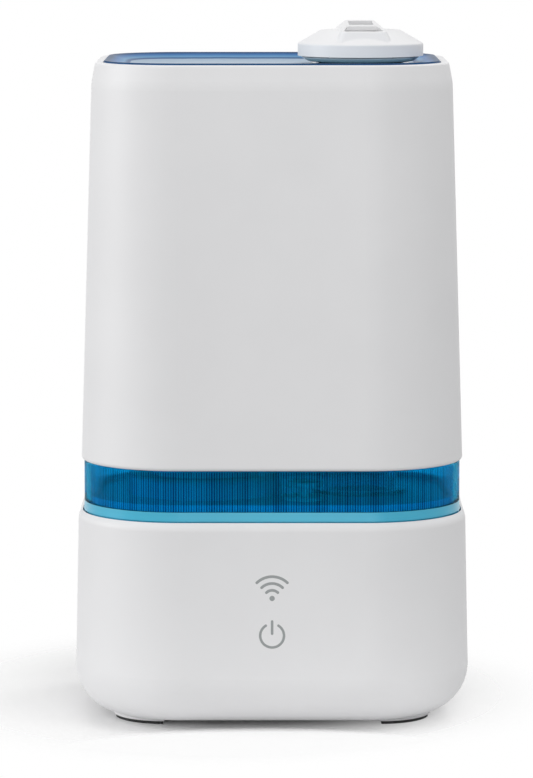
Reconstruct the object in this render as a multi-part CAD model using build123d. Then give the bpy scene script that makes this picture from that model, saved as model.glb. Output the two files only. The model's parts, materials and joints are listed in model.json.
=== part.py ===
"""Cool mist humidifier: base with fan and transducer, lift-off water tank, lid and mist nozzle.

Millimetres, +Z up, front towards -Y. The origin is the middle of the footprint at floor level.
Every level of the body has the same plan: one core rectangle grown outwards by a reach, so a
reach is also the corner radius of that level. Sections are drawn as (reach, height).
"""
import math
import os

from build123d import *

# Plan of the body
BASE_WIDTH = 172.0          # base at its widest, left to right
BASE_DEPTH = 148.0          # base at its widest, front to back
BASE_REACH = 46.0           # corner radius of the base at its widest
CORE_X = BASE_WIDTH / 2 - BASE_REACH
CORE_Y = BASE_DEPTH / 2 - BASE_REACH

# Clearances
FIT = 0.3                   # between pieces that drop into each other
SLIP = 0.05                 # round a screw, stud or shaft
SEAT_GAP = 0.5              # round the tank where it drops into the base

# Base housing
FOOT_HEIGHT = 3.5           # gap between the floor and the underside
PAD_HEIGHT = 1.4            # rubber tread under each foot
PAD_INSET = 0.8             # tread set in from the foot's edge
FOOT_X = CORE_X + 7.0       # middle of the arc that a foot follows
FOOT_Y = CORE_Y - 4.0
FOOT_IN = 9.0               # inner and outer radius of that arc
FOOT_OUT = 22.8
FOOT_FROM = 10.0            # its ends, in degrees from the side towards the front
FOOT_TO = 90.0
BASE_TOP = 92.4             # inner edge of the rim
RIM_DROP = 2.2              # the rim rounds off by this much to its outer edge
BASE_WALL = 2.6
BASE_ROUND = 21.0           # round of the lower edge
BASE_LEAN = 1.5             # the wall leans in by this much up to the rim
RIM_ROUND = 4.0
LIP_REACH = 14.0            # inner edge of the underside lip
LEDGE_TOP = 86.0            # ledge that carries the basin
LEDGE_THICK = 2.5
LEDGE_WIDTH = 3.1
SEAT_REACH = 42.7           # well inside the rim that takes basin and tank

# Bottom plate and its screws
PLATE_THICK = 2.0           # flange that lies on the lip
PLATE_FLANGE = 9.0          # overlap of the flange on the lip
GRILLE_RADIUS = 22.0        # round patch of intake slots below the fan
GRILLE_SLOT = 2.6
GRILLE_PITCH = 6.0
SCREW_SHANK = 1.5           # radii of the housing screws
SCREW_HEAD = 2.7
SCREW_HEAD_HIGH = 1.4
SCREW_LENGTH = 9.0
SCREW_BOSS = 3.6
PLATE_SCREW_SPREAD = 0.6 * CORE_X   # screws left and right of the middle, front and back
BOSS_HIGH = 5.0

# Fan
FAN_X = -0.75 * CORE_X     # fan, air outlet and the dome over it
FAN_SIZE = 60.0
FAN_DEPTH = 15.0
FAN_STANDOFF = 6.0
FAN_HOLE_SPACING = 50.0
FAN_BORE = 28.5
FAN_HUB = 12.0
FAN_BLADES = 7
BLADE_TIP_GAP = 1.0
BLADE_THICK = 1.2
BLADE_PITCH = 38.0
FAN_SHAFT = 1.5
FAN_STRUTS = 3
STRUT_WIDTH = 3.0
STRUT_THICK = 2.0

# Air path
DUCT_WALL = 1.6
DUCT_RISE = 22.0            # height of the tapering part
CHIMNEY_BORE = 11.0
CHIMNEY_WALL = 2.0
CHIMNEY_TOP = 96.0
CHIMNEY_DROP = 12.0         # stub below the basin floor
HOOD_OVERHANG = 2.0
HOOD_THICK = 1.8
HOOD_OPENING = 4.0          # side gap under the hood
HOOD_LEGS = 3

# Basin
GASKET_THICK = 0.8
BASIN_FLANGE = 2.0
BASIN_WALL = 2.4
BASIN_FLOOR = 66.0          # top of the basin floor
BASIN_REACH = 36.4          # inside of the basin at its mouth
BASIN_DRAFT = 2.2           # the wall draws in by this much down to the floor
BASIN_ROUND = 6.0

# Transducer, under the nozzle's axis
NOZZLE_X = 0.97 * CORE_X
WELL_HOLE = 8.5
WELL_POCKET = 12.4
WELL_WALL = 3.2
WELL_FLOOR = 4.0
SEAL_THICK = 1.8
DISC_RADIUS = 10.0
DISC_THICK = 1.2
SINK_BORE = 7.0
SINK_THICK = 2.5
SINK_FINS = 6
FIN_THICK = 1.2
FIN_HIGH = 6.0
WELL_SCREW_SPREAD = 20.0

# Water-level float
FLOAT_X = 0.2 * CORE_X
FLOAT_Y = 26.0
FLOAT_POST = 2.6
FLOAT_BORE_GAP = 0.5
FLOAT_RADIUS = 10.0
FLOAT_HIGH = 12.0
FLOAT_TRAVEL = 5.4
MAGNET_IN = 4.6
MAGNET_OUT = 7.8
MAGNET_HIGH = 3.0
STOP_RADIUS = 6.0
STOP_THICK = 2.4
REED_LENGTH = 8.0           # magnetic switch below the float
REED_WIDTH = 4.0
REED_HIGH = 3.0

# Boards and inlet
BOARD_GAP = 7.0             # between the fan frame and the board
BOARD_EDGE = 29.0           # how far the board runs on beyond the core
BOARD_LEFT = FAN_X + FAN_SIZE / 2 + BOARD_GAP
BOARD_RIGHT = CORE_X + BOARD_EDGE
BOARD_X = (BOARD_LEFT + BOARD_RIGHT) / 2
BOARD_WIDTH = BOARD_RIGHT - BOARD_LEFT
BOARD_DEPTH = 84.0
BOARD_THICK = 1.6
BOARD_STANDOFF = 6.0
BOARD_MARGIN_X = 9.0        # from the board's edges to its screws
BOARD_MARGIN_Y = 8.0
BOARD_HOLES_X = BOARD_WIDTH - 2 * BOARD_MARGIN_X
BOARD_HOLES_Y = BOARD_DEPTH - 2 * BOARD_MARGIN_Y
JACK_X = 0.55 * CORE_X
JACK_Z = 32.0
JACK_FLANGE = 7.4
JACK_FLANGE_THICK = 1.4
JACK_BODY = 5.4
JACK_LENGTH = 14.0
JACK_BORE = 2.9
JACK_BORE_DEEP = 9.5
JACK_PIN = 1.05
NUT_RADIUS = 7.4
NUT_SIDES = 6
NUT_THICK = 2.6
TOUCH_WIDTH = 34.0
TOUCH_LOW = 33.0
TOUCH_HIGH = 74.0
TOUCH_THICK = 1.0
GUIDE_THICK = 1.4
RAIL_WIDTH = 2.6
LEAD_RADIUS = 1.1
LEAD_BEND = 4.0
LEAD_TAIL = 14.0            # straight run where a lead leaves the touch board or the inlet
PLUG_WIDTH = 5.0            # small board connectors
PLUG_DEPTH = 8.0
PLUG_HIGH = 6.0
CAPACITOR_RADIUS = 5.0
CAPACITOR_HIGH = 20.0
CAPACITOR_PITCH = 13.0
COIL_RADIUS = 9.0
COIL_HIGH = 12.0
COIL_FLANGE = 1.5
COOLER_WIDTH = 24.0
COOLER_DEPTH = 16.0
COOLER_HIGH = 20.0
COOLER_FINS = 5
RADIO_WIDTH = 18.0
RADIO_DEPTH = 25.0
RADIO_CAN = 2.4
RADIO_MARGIN = 1.0          # bare edge of its carrier round the can

# Front symbols
ICON_DEPTH = 0.4
POWER_Z = 44.1
POWER_RADIUS = 5.1
POWER_STROKE = 1.1
POWER_GAP = 64.0            # opening of the ring at the top, degrees
POWER_BAR = 6.4
WIRELESS_Z = 60.2
WIRELESS_FIRST = 3.5
WIRELESS_STEP = 2.95
WIRELESS_STROKE = 1.2
WIRELESS_SPAN = 88.0
WIRELESS_DOT = 1.15

# Tank
TANK_JOIN = 96.8            # top of the light strip, where the tank wall starts
STRIP_REACH = 41.9          # strip at its top edge, and the band above it
STRIP_LOW = 92.9            # lower edge of the strip, over the rim of the base
GROOVE_LOW = 90.8           # shadow groove below the strip
GROOVE_DEEP = 1.0
PAN_WALL = 2.4
PAN_FLOOR = 2.6
TONGUE_HIGH = 2.8
TONGUE_THICK = 1.9
TANK_WALL = 2.0
BAND_TOP = 114.3            # shoulder under the sleeve
SLEEVE_GAP = 0.3            # under the sleeve's lower edge
SLEEVE_LOW = 43.1           # reach of the sleeve at its lower edge
SLEEVE_LEAN = 5.0           # it draws in by this much up to the shoulder
SLEEVE_WALL = 1.8
SLEEVE_FOOT_ROUND = 1.6
SLEEVE_SLACK = 0.5          # between sleeve and tank wall
SHOULDER_Z = 278.5          # where the side turns in towards the rim
SHOULDER_ROUND = 25.0
SLEEVE_TOP = 287.3
SLEEVE_RIM = 36.4           # reach of the rim's outer edge
SLEEVE_TOP_ROUND = 0.9
OPENING_REACH = 33.1        # mouth of the sleeve, round the lid
SLEEVE_EDGE = 2.0           # thickness of the rim round the mouth
TANK_MOUTH = 284.2          # top of the tank wall, which carries the lid
TANK_MOUTH_REACH = 31.2
TANK_SHOULDER_SLACK = 1.0
TANK_SHOULDER_ROUND = 11.0
DOME_RADIUS = 34.0          # dome over the air outlet: a wide step with a smaller cap on it
DOME_STEP = 106.0
DOME_CAP_RADIUS = 24.0
DOME_TOP = 110.8
DOME_WALL = 2.0
DOME_ROUND = 3.0

# Mist tube
TUBE_BORE = 14.0
TUBE_WALL = 2.0
TUBE_LOW = 90.0
TUBE_TOP = 277.0
TUBE_FLANGE = 5.0
TUBE_FLANGE_THICK = 2.0
TUBE_SEAL_HIGH = 5.0
TUBE_SEAL_THICK = 1.5

# Tank valve
VALVE_X = 0.35 * CORE_X
VALVE_Y = -27.0
VALVE_RADIUS = 8.0
VALVE_WALL = 1.4
VALVE_LOW = 82.0
VALVE_FLANGE = 2.0
VALVE_FLANGE_THICK = 1.5
VALVE_STEM = 2.0
VALVE_LIFT = 3.7            # how far the seated tank holds the valve open
VALVE_SEAL_THICK = 1.2
VALVE_HEAD = 7.4
VALVE_HEAD_THICK = 1.5
WEB_THICK = 2.0
WEB_TOP = 96.0
WEB_SPOKES = 3
BUTTON_RADIUS = 5.2
BUTTON_THICK = 1.5
BUTTON_TOP = 86.0
PUSH_POST = 2.2
SPRING_RADIUS = 4.0
SPRING_WIRE = 0.45
SPRING_TURNS = 4

# Lid
LID_REACH = 32.6
LID_RIM = 288.0             # flat top of its edge
LID_EDGE = 1.4              # width of that flat
LID_EDGE_ROUND = 0.4
DISH_REACH = 22.0           # foot of the slope inside the edge
DISH_FLOOR = 285.2
DISH_ROUND = 2.0
LID_THICK = 2.2
SKIRT_REACH = 30.0
SKIRT_THICK = 2.0
SKIRT_LOW = 276.5
LID_SEAL_LOW = 281.4
LID_SEAL_HIGH = 2.0
LID_SEAL_THICK = 1.0
FUNNEL_RADIUS = 26.0        # bowl under the nozzle: brim, belly and foot
FUNNEL_TOP = 288.6
FUNNEL_BELLY = 23.4
FUNNEL_BELLY_Z = 286.7
FUNNEL_ROUND = 4.0
FUNNEL_FOOT = 17.5
FUNNEL_WELL = 16.2          # round the nozzle's collar
FUNNEL_WALL = 1.2
FUNNEL_LIP = 1.6            # lies on the dish round the socket
FUNNEL_LIP_THICK = 0.7
SOCKET_LOW = 271.0
SOCKET_WALL = 2.0

# Nozzle
NOZZLE_TURN = 3.0           # swung a little to the right, degrees
NECK_RADIUS = 13.8
NECK_WALL = 1.6
NECK_LOW = 279.0
COLLAR_WIDTH = 1.5
COLLAR_HIGH = 1.4
CAP_RADIUS = 27.5
CAP_LOW = 289.0
CAP_EDGE = 294.4            # top of the upright edge
CAP_EDGE_ROUND = 1.0
PLATEAU_RADIUS = 17.4
PLATEAU_Z = 300.2
PLATEAU_ROUND = 2.0
CAP_WALL = 1.8
THROAT_LOW = 292.0          # underside of the chamber below the crown
CROWN_FOOT_FRONT = 24.4     # raised crown with the slots: foot, forwards and back of the axis
CROWN_FOOT_BACK = 19.0
CROWN_FOOT_FRONT_HALF = 12.0
CROWN_FOOT_BACK_HALF = 17.6
CROWN_BROW = 21.4           # where its front face meets the sloping top
CROWN_BROW_Z = 300.0
CROWN_BROW_HALF = 10.2
CROWN_PEAK = 8.5            # rear edge of the sloping top
CROWN_TOP = 304.2
CROWN_TOP_HALF = 6.4
CROWN_CORNER = 3.0
CROWN_EDGE = 0.9
CROWN_BLEND = 1.5           # hollow round where the crown meets the cap
CROWN_WALL = 1.8
SLOT_FRONT = -20.2          # front slot: edges along Y and half widths
SLOT_REAR = -8.0
SLOT_FRONT_HALF = 8.7
SLOT_REAR_HALF = 6.6
UPPER_SLOT_FRONT = -4.0
UPPER_SLOT_REAR = 5.8
UPPER_SLOT_HALF = 5.3

# Heights and reaches that follow from the sizes above
LIP_TOP = FOOT_HEIGHT + BASE_WALL
RIM_LOW = BASE_TOP - RIM_DROP
PLATE_TOP = LIP_TOP + PLATE_THICK
FAN_LOW = PLATE_TOP + FAN_STANDOFF
FAN_TOP = FAN_LOW + FAN_DEPTH
BOARD_LOW = PLATE_TOP + BOARD_STANDOFF
BOARD_TOP = BOARD_LOW + BOARD_THICK
BASIN_UNDER = BASIN_FLOOR - BASIN_WALL
BASIN_TOP = LEDGE_TOP + GASKET_THICK + BASIN_FLANGE
WELL_TOP = BASIN_FLOOR - WELL_FLOOR
DISC_TOP = WELL_TOP - SEAL_THICK
WELL_LOW = DISC_TOP - DISC_THICK - SINK_THICK
FLOAT_LOW = BASIN_FLOOR + FIT
STOP_LOW = FLOAT_LOW + FLOAT_HIGH + FLOAT_TRAVEL + FIT
PAN_UNDER = TANK_JOIN - PAN_FLOOR
VALVE_SEAT = TANK_JOIN + VALVE_FLANGE_THICK
VALVE_SEAL_LOW = VALVE_SEAT + FIT + VALVE_LIFT
BUTTON_LOW = BUTTON_TOP - BUTTON_THICK
SLEEVE_FOOT = BAND_TOP + SLEEVE_GAP
CHIMNEY_RADIUS = CHIMNEY_BORE + CHIMNEY_WALL
NOZZLE_AT = Pos(NOZZLE_X, 0, 0)
FAN_AT = Pos(FAN_X, 0, 0)
VALVE_AT = Pos(VALVE_X, VALVE_Y, 0)
FLOAT_AT = Pos(FLOAT_X, FLOAT_Y, 0)


def section(*corners):
    """Closed section in the XZ plane from (reach, height) or (reach, height, round) corners."""
    points = [corner[:2] for corner in corners]
    rounds = [corner[2] if len(corner) > 2 else 0 for corner in corners]
    return Plane.XZ * make_face(FilletPolyline(*points, radius=rounds, close=True))


def corner_places():
    """The core rectangle's corners, each turned to face outwards."""
    signs = [(1, 1), (-1, 1), (-1, -1), (1, -1)]
    return [Pos(a * CORE_X, b * CORE_Y, 0) * Rot(0, 0, 90 * turn) for turn, (a, b) in enumerate(signs)]


def wrap(face):
    """Carries a section round the core rectangle: a quarter turn at each corner, straight sides."""
    corner = revolve(face, Axis.Z, 90)
    along_y = extrude(face, CORE_Y, both=True)
    along_x = extrude(face, CORE_X, both=True)
    pieces = [place * corner for place in corner_places()]
    for side in (1, -1):
        facing = 90 - 90 * side
        pieces.append(Pos(side * CORE_X, 0, 0) * Rot(0, 0, facing) * along_y)
        pieces.append(Pos(0, side * CORE_Y, 0) * Rot(0, 0, facing + 90) * along_x)
    return Part() + pieces


def slab(reach, low, high):
    """Plate of the body's plan at one reach, between two heights."""
    plan = RectangleRounded(2 * (CORE_X + reach), 2 * (CORE_Y + reach), reach)
    return Pos(0, 0, low) * extrude(plan, high - low)


def core(low, high):
    """Block over the core rectangle, which closes a wrapped floor."""
    return block(-CORE_X, CORE_X, -CORE_Y, CORE_Y, low, high)


def block(x0, x1, y0, y1, z0, z1):
    """Box between two corners."""
    return Pos((x0 + x1) / 2, (y0 + y1) / 2, (z0 + z1) / 2) * Box(x1 - x0, y1 - y0, z1 - z0)


def rod(radius, low, high):
    """Upright cylinder on the Z axis between two heights."""
    return Pos(0, 0, (low + high) / 2) * Cylinder(radius, high - low)


def tube(inner, outer, low, high):
    """Upright tube on the Z axis between two heights."""
    return rod(outer, low, high) - rod(inner, low, high)


def spun(*corners):
    """Solid of revolution about Z from (radius, height) corners."""
    return revolve(section(*corners), Axis.Z)


def screw(tip, seat, shank, head, head_high):
    """Screw on the Z axis: shank from its tip to the seat, head beyond the seat."""
    away = head_high if seat > tip else -head_high
    low, high = sorted((tip, seat))
    head_low, head_top = sorted((seat, seat + away))
    return rod(shank, low, high) + rod(head, head_low, head_top)


def at_each(places, solid):
    """Copies of a solid at (x, y) places."""
    return [Pos(x, y, 0) * solid for x, y in places]


def base_reach(height):
    """Outside reach of the base wall at a height above its lower round."""
    low = FOOT_HEIGHT + BASE_ROUND
    return BASE_REACH - BASE_LEAN * (height - low) / (BASE_TOP - low)


def plate_screw_places():
    """Housing screws: two at the front, two at the back, one on each side."""
    reach = LIP_REACH + PLATE_FLANGE / 2
    sides = [(side * (CORE_X + reach), 0) for side in (1, -1)]
    for x in (PLATE_SCREW_SPREAD, -PLATE_SCREW_SPREAD):
        sides += [(x, side * (CORE_Y + reach)) for side in (1, -1)]
    return sides


def square(spacing_x, spacing_y, middle_x):
    """Four places at the corners of a rectangle."""
    half_x, half_y = spacing_x / 2, spacing_y / 2
    return [(middle_x + a * half_x, b * half_y) for a in (1, -1) for b in (1, -1)]


FAN_PLACES = square(FAN_HOLE_SPACING, FAN_HOLE_SPACING, FAN_X)
BOARD_PLACES = square(BOARD_HOLES_X, BOARD_HOLES_Y, BOARD_X)
WELL_PLACES = [(NOZZLE_X + side * WELL_SCREW_SPREAD, 0) for side in (1, -1)]


def base_outside():
    """The base's outer form as one filled solid."""
    outer = section(
        (0, FOOT_HEIGHT),
        (base_reach(FOOT_HEIGHT), FOOT_HEIGHT, BASE_ROUND),
        (base_reach(RIM_LOW), RIM_LOW, RIM_ROUND),
        (SEAT_REACH, BASE_TOP),
        (0, BASE_TOP),
    )
    return wrap(outer) + core(FOOT_HEIGHT, BASE_TOP)


def foot(inset, low, high):
    """Feet at the four corners: arcs that stay clear of the bottom plate."""
    ring = tube(FOOT_IN + inset, FOOT_OUT - inset, low, high)
    reach = 2 * FOOT_OUT
    trim = math.degrees(inset / FOOT_OUT)
    ends = [math.radians(FOOT_FROM + trim), math.radians(FOOT_TO - trim)]
    corners = [(reach * math.cos(end), reach * math.sin(end)) for end in ends]
    wedge = make_face(Polyline((0, 0), corners[0], (reach, reach), corners[1], close=True))
    sector = Pos(FOOT_X, FOOT_Y, 0) * (ring & Pos(0, 0, low) * extrude(wedge, high - low))
    sector -= slab(LIP_REACH + inset, low, high)
    pair = [sector, mirror(sector, Plane.YZ)]
    return pair + [mirror(one, Plane.XZ) for one in pair]


def icon_solids(outside):
    """Thin inlays for the power and wireless symbols, cut from the skin of the front wall."""
    power_arc = CenterArc((0, 0), POWER_RADIUS, 90 + POWER_GAP / 2, 360 - POWER_GAP)
    power = SlotArc(power_arc, POWER_STROKE)
    power += Pos(0, POWER_RADIUS - POWER_BAR / 4) * SlotOverall(POWER_BAR, POWER_STROKE, rotation=90)
    wireless = Sketch() + Circle(WIRELESS_DOT)
    for arc in range(3):
        radius = WIRELESS_FIRST + arc * WIRELESS_STEP
        sweep_arc = CenterArc((0, 0), radius, 90 - WIRELESS_SPAN / 2, WIRELESS_SPAN)
        wireless += SlotArc(sweep_arc, WIRELESS_STROKE)
    inside = Pos(0, ICON_DEPTH, 0) * outside
    inlays = []
    for symbol, height in ((power, POWER_Z), (wireless, WIRELESS_Z)):
        front = Plane((0, -BASE_DEPTH / 2 + BASE_WALL, height), x_dir=(1, 0, 0), z_dir=(0, -1, 0))
        inlays.append((extrude(front * symbol, 2 * BASE_WALL) & outside) - inside)
    return inlays


def jack_axis():
    """Frame of the power inlet: Z points out of the rear wall, level with the wall's skin."""
    skin = CORE_Y + base_reach(JACK_Z + JACK_FLANGE)
    return Plane((JACK_X, skin, JACK_Z), x_dir=(1, 0, 0), z_dir=(0, 1, 0)).location


def base_shell(outside, inlays):
    inner_low = base_reach(FOOT_HEIGHT) - BASE_WALL
    ledge_in = SEAT_REACH - LEDGE_WIDTH
    gusset = LEDGE_TOP - LEDGE_THICK - (base_reach(LEDGE_TOP) - BASE_WALL - ledge_in)
    shell = wrap(section(
        (LIP_REACH, FOOT_HEIGHT),
        (base_reach(FOOT_HEIGHT), FOOT_HEIGHT, BASE_ROUND),
        (base_reach(RIM_LOW), RIM_LOW, RIM_ROUND),
        (SEAT_REACH, BASE_TOP),
        (SEAT_REACH, LEDGE_TOP),
        (ledge_in, LEDGE_TOP),
        (ledge_in, LEDGE_TOP - LEDGE_THICK),
        (base_reach(gusset) - BASE_WALL, gusset),
        (inner_low, LIP_TOP, BASE_ROUND - BASE_WALL),
        (LIP_REACH, LIP_TOP),
    ))
    shell += foot(0, PAD_HEIGHT, FOOT_HEIGHT + BASE_WALL / 2)
    rail_out = CORE_Y + base_reach(TOUCH_LOW) - BASE_WALL / 2
    rail_in = TOUCH_WIDTH / 2 + FIT
    rail = block(rail_in, rail_in + RAIL_WIDTH, -rail_out, touch_back(), TOUCH_LOW, TOUCH_HIGH) & outside
    shell += [rail, mirror(rail, Plane.YZ)]
    head_pocket = rod(SCREW_HEAD + FIT, FOOT_HEIGHT, FOOT_HEIGHT + SCREW_HEAD_HIGH)
    screw_hole = rod(SCREW_SHANK + FIT, FOOT_HEIGHT, LIP_TOP)
    shell -= at_each(plate_screw_places(), head_pocket + screw_hole)
    shell -= jack_axis() * rod(JACK_BODY + SLIP, -2 * BASE_WALL, 0)
    shell -= jack_axis() * rod(JACK_FLANGE + SLIP, -JACK_FLANGE_THICK, BASE_WALL)
    return shell - inlays


def touch_back():
    """Depth, as a Y value, of the touch board's rear face behind the front wall."""
    wall_inside = CORE_Y + base_reach(TOUCH_HIGH) - BASE_WALL
    return -(wall_inside - FIT - GUIDE_THICK - TOUCH_THICK)


def rubber_feet():
    return foot(PAD_INSET, 0, PAD_HEIGHT)


def bottom_plate():
    plate = slab(LIP_REACH - FIT, FOOT_HEIGHT, LIP_TOP) + slab(LIP_REACH + PLATE_FLANGE, LIP_TOP, PLATE_TOP)
    plate += at_each(plate_screw_places(), rod(SCREW_BOSS, LIP_TOP, PLATE_TOP + BOSS_HIGH))
    plate += at_each(FAN_PLACES, rod(SCREW_BOSS, LIP_TOP, FAN_LOW))
    plate += at_each(BOARD_PLACES, rod(SCREW_BOSS, LIP_TOP, BOARD_LOW))
    slots = int(GRILLE_RADIUS // GRILLE_PITCH)
    for row in range(-slots, slots + 1):
        y = row * GRILLE_PITCH
        length = 2 * math.sqrt(GRILLE_RADIUS ** 2 - y ** 2)
        slot = extrude(SlotOverall(length, GRILLE_SLOT), PLATE_TOP - FOOT_HEIGHT)
        plate -= Pos(FAN_X, y, FOOT_HEIGHT) * slot
    thread = rod(SCREW_SHANK + SLIP, FOOT_HEIGHT, PLATE_TOP + BOSS_HIGH)
    plate -= at_each(plate_screw_places(), thread)
    blind = FOOT_HEIGHT + BASE_WALL / 2
    plate -= at_each(FAN_PLACES, rod(SCREW_SHANK + SLIP, blind, FAN_LOW))
    plate -= at_each(BOARD_PLACES, rod(SCREW_SHANK + SLIP, blind, BOARD_LOW))
    return plate


def bottom_screws():
    seat = FOOT_HEIGHT + SCREW_HEAD_HIGH
    one = screw(seat + SCREW_LENGTH, seat, SCREW_SHANK, SCREW_HEAD, SCREW_HEAD_HIGH - SLIP)
    return at_each(plate_screw_places(), one)


def fan_frame():
    frame = Pos(0, 0, FAN_LOW) * extrude(RectangleRounded(FAN_SIZE, FAN_SIZE, SCREW_BOSS), FAN_DEPTH)
    frame -= rod(FAN_BORE, FAN_LOW, FAN_TOP)
    frame += rod(FAN_HUB, FAN_LOW, FAN_LOW + STRUT_THICK)
    half = STRUT_WIDTH / 2
    arm = block(0, FAN_BORE + half, -half, half, FAN_LOW, FAN_LOW + STRUT_THICK)
    for strut in range(FAN_STRUTS):
        frame += Rot(0, 0, 360 / FAN_STRUTS * strut) * arm
    frame += rod(FAN_SHAFT, FAN_LOW, FAN_TOP - STRUT_THICK - FIT)
    holes = square(FAN_HOLE_SPACING, FAN_HOLE_SPACING, 0)
    return FAN_AT * (frame - at_each(holes, rod(SCREW_SHANK + FIT, FAN_LOW, FAN_TOP)))


def fan_rotor():
    low = FAN_LOW + STRUT_THICK + FIT
    high = FAN_TOP - FIT
    rotor = rod(FAN_HUB, low, high) - rod(FAN_SHAFT + SLIP, low, FAN_TOP - STRUT_THICK)
    tip = FAN_BORE - BLADE_TIP_GAP
    room = tube(FAN_HUB / 2, tip, low, high)
    chord = 2 * (high - low)
    for blade in range(FAN_BLADES):
        sheet = Rot(90 - BLADE_PITCH, 0, 0) * Box(tip, chord, BLADE_THICK)
        turn = Rot(0, 0, 360 / FAN_BLADES * blade)
        rotor += turn * (Pos(tip / 2, 0, (low + high) / 2) * sheet & room)
    return FAN_AT * rotor


def fan_screws():
    tip = FAN_LOW - FAN_STANDOFF
    one = screw(tip, FAN_TOP, SCREW_SHANK, SCREW_HEAD, SCREW_HEAD_HIGH)
    return at_each(FAN_PLACES, one)


def air_duct():
    sleeve = CHIMNEY_RADIUS + FIT
    cone_top = FAN_TOP + DUCT_RISE
    mouth = BASIN_UNDER - FIT
    duct = spun(
        (FAN_BORE, FAN_TOP),
        (FAN_BORE + DUCT_WALL, FAN_TOP),
        (sleeve + DUCT_WALL, cone_top),
        (sleeve + DUCT_WALL, mouth),
        (sleeve, mouth),
        (sleeve, cone_top),
    )
    return FAN_AT * duct


def basin():
    inside_low = BASIN_REACH - BASIN_DRAFT
    flange_low = LEDGE_TOP + GASKET_THICK
    bowl = wrap(section(
        (0, BASIN_UNDER),
        (inside_low + BASIN_WALL, BASIN_UNDER, BASIN_ROUND + BASIN_WALL),
        (BASIN_REACH + BASIN_WALL, flange_low),
        (SEAT_REACH - FIT, flange_low),
        (SEAT_REACH - FIT, BASIN_TOP),
        (BASIN_REACH, BASIN_TOP),
        (inside_low, BASIN_FLOOR, BASIN_ROUND),
        (0, BASIN_FLOOR),
    ))
    bowl += core(BASIN_UNDER, BASIN_FLOOR)
    bowl += FAN_AT * rod(CHIMNEY_RADIUS, BASIN_UNDER - CHIMNEY_DROP, CHIMNEY_TOP)
    bowl -= FAN_AT * rod(CHIMNEY_BORE, BASIN_UNDER - CHIMNEY_DROP, CHIMNEY_TOP)
    bowl += NOZZLE_AT * rod(WELL_POCKET + WELL_WALL, WELL_LOW + SINK_THICK, BASIN_FLOOR)
    bowl += at_each(WELL_PLACES, rod(SCREW_BOSS, WELL_LOW + SINK_THICK, BASIN_FLOOR))
    bowl -= NOZZLE_AT * (rod(WELL_POCKET, WELL_LOW, WELL_TOP) + rod(WELL_HOLE, WELL_TOP, BASIN_FLOOR))
    bowl -= at_each(WELL_PLACES, rod(SCREW_SHANK + SLIP, WELL_LOW, WELL_TOP))
    bowl += FLOAT_AT * rod(FLOAT_POST, BASIN_UNDER, STOP_LOW + STOP_THICK)
    bowl += VALVE_AT * rod(PUSH_POST, BASIN_UNDER, BUTTON_LOW - FIT)
    return bowl


def basin_gasket():
    inner = SEAT_REACH - LEDGE_WIDTH + FIT
    outer = SEAT_REACH - FIT
    top = LEDGE_TOP + GASKET_THICK
    return wrap(section((inner, LEDGE_TOP), (outer, LEDGE_TOP), (outer, top), (inner, top)))


def air_outlet_hood():
    """Cap over the air outlet that keeps water out, on legs inside the chimney's bore."""
    under = CHIMNEY_TOP + HOOD_OPENING
    hood = rod(CHIMNEY_RADIUS + HOOD_OVERHANG, under, under + HOOD_THICK)
    leg_out = CHIMNEY_BORE - SLIP
    leg = tube(leg_out - CHIMNEY_WALL, leg_out, CHIMNEY_TOP - HOOD_OPENING, under + HOOD_THICK)
    for turn in range(HOOD_LEGS):
        width = CHIMNEY_WALL
        strip = block(0, CHIMNEY_RADIUS, -width, width, CHIMNEY_TOP - HOOD_OPENING, under + HOOD_THICK)
        hood += Rot(0, 0, 360 / HOOD_LEGS * turn) * (leg & strip)
    return FAN_AT * hood


def transducer_seal():
    return NOZZLE_AT * tube(WELL_HOLE, WELL_POCKET - SLIP, DISC_TOP, WELL_TOP)


def transducer_disc():
    return NOZZLE_AT * rod(DISC_RADIUS, DISC_TOP - DISC_THICK, DISC_TOP)


def transducer_heat_sink():
    plate_top = WELL_LOW + SINK_THICK
    sink = rod(WELL_POCKET + WELL_WALL, WELL_LOW, plate_top)
    ears = SlotOverall(2 * (WELL_SCREW_SPREAD + SCREW_BOSS), 2 * SCREW_BOSS)
    sink += Pos(0, 0, WELL_LOW) * extrude(ears, SINK_THICK)
    spread = 2 * WELL_POCKET / (SINK_FINS - 1)
    for fin in range(SINK_FINS):
        y = -WELL_POCKET + fin * spread
        half = math.sqrt((WELL_POCKET + FIN_THICK) ** 2 - y ** 2)
        sink += block(-half, half, y - FIN_THICK / 2, y + FIN_THICK / 2, WELL_LOW - FIN_HIGH, WELL_LOW)
    sink -= rod(SINK_BORE, WELL_LOW - FIN_HIGH, plate_top)
    holes = [(side * WELL_SCREW_SPREAD, 0) for side in (1, -1)]
    return NOZZLE_AT * (sink - at_each(holes, rod(SCREW_SHANK + FIT, WELL_LOW, plate_top)))


def transducer_screws():
    tip = WELL_TOP - FIT
    return at_each(WELL_PLACES, screw(tip, WELL_LOW, SCREW_SHANK, SCREW_HEAD, SCREW_HEAD_HIGH))


def float_body():
    bore = FLOAT_POST + FLOAT_BORE_GAP
    buoy = tube(bore, FLOAT_RADIUS, FLOAT_LOW, FLOAT_LOW + FLOAT_HIGH)
    pocket = tube(MAGNET_IN - SLIP, MAGNET_OUT + SLIP, FLOAT_LOW, FLOAT_LOW + MAGNET_HIGH + FIT)
    return FLOAT_AT * (buoy - pocket)


def float_magnet():
    low = FLOAT_LOW + FIT
    return FLOAT_AT * tube(MAGNET_IN, MAGNET_OUT, low, low + MAGNET_HIGH)


def float_stop():
    return FLOAT_AT * tube(FLOAT_POST + SLIP, STOP_RADIUS, STOP_LOW, STOP_LOW + STOP_THICK)


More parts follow.
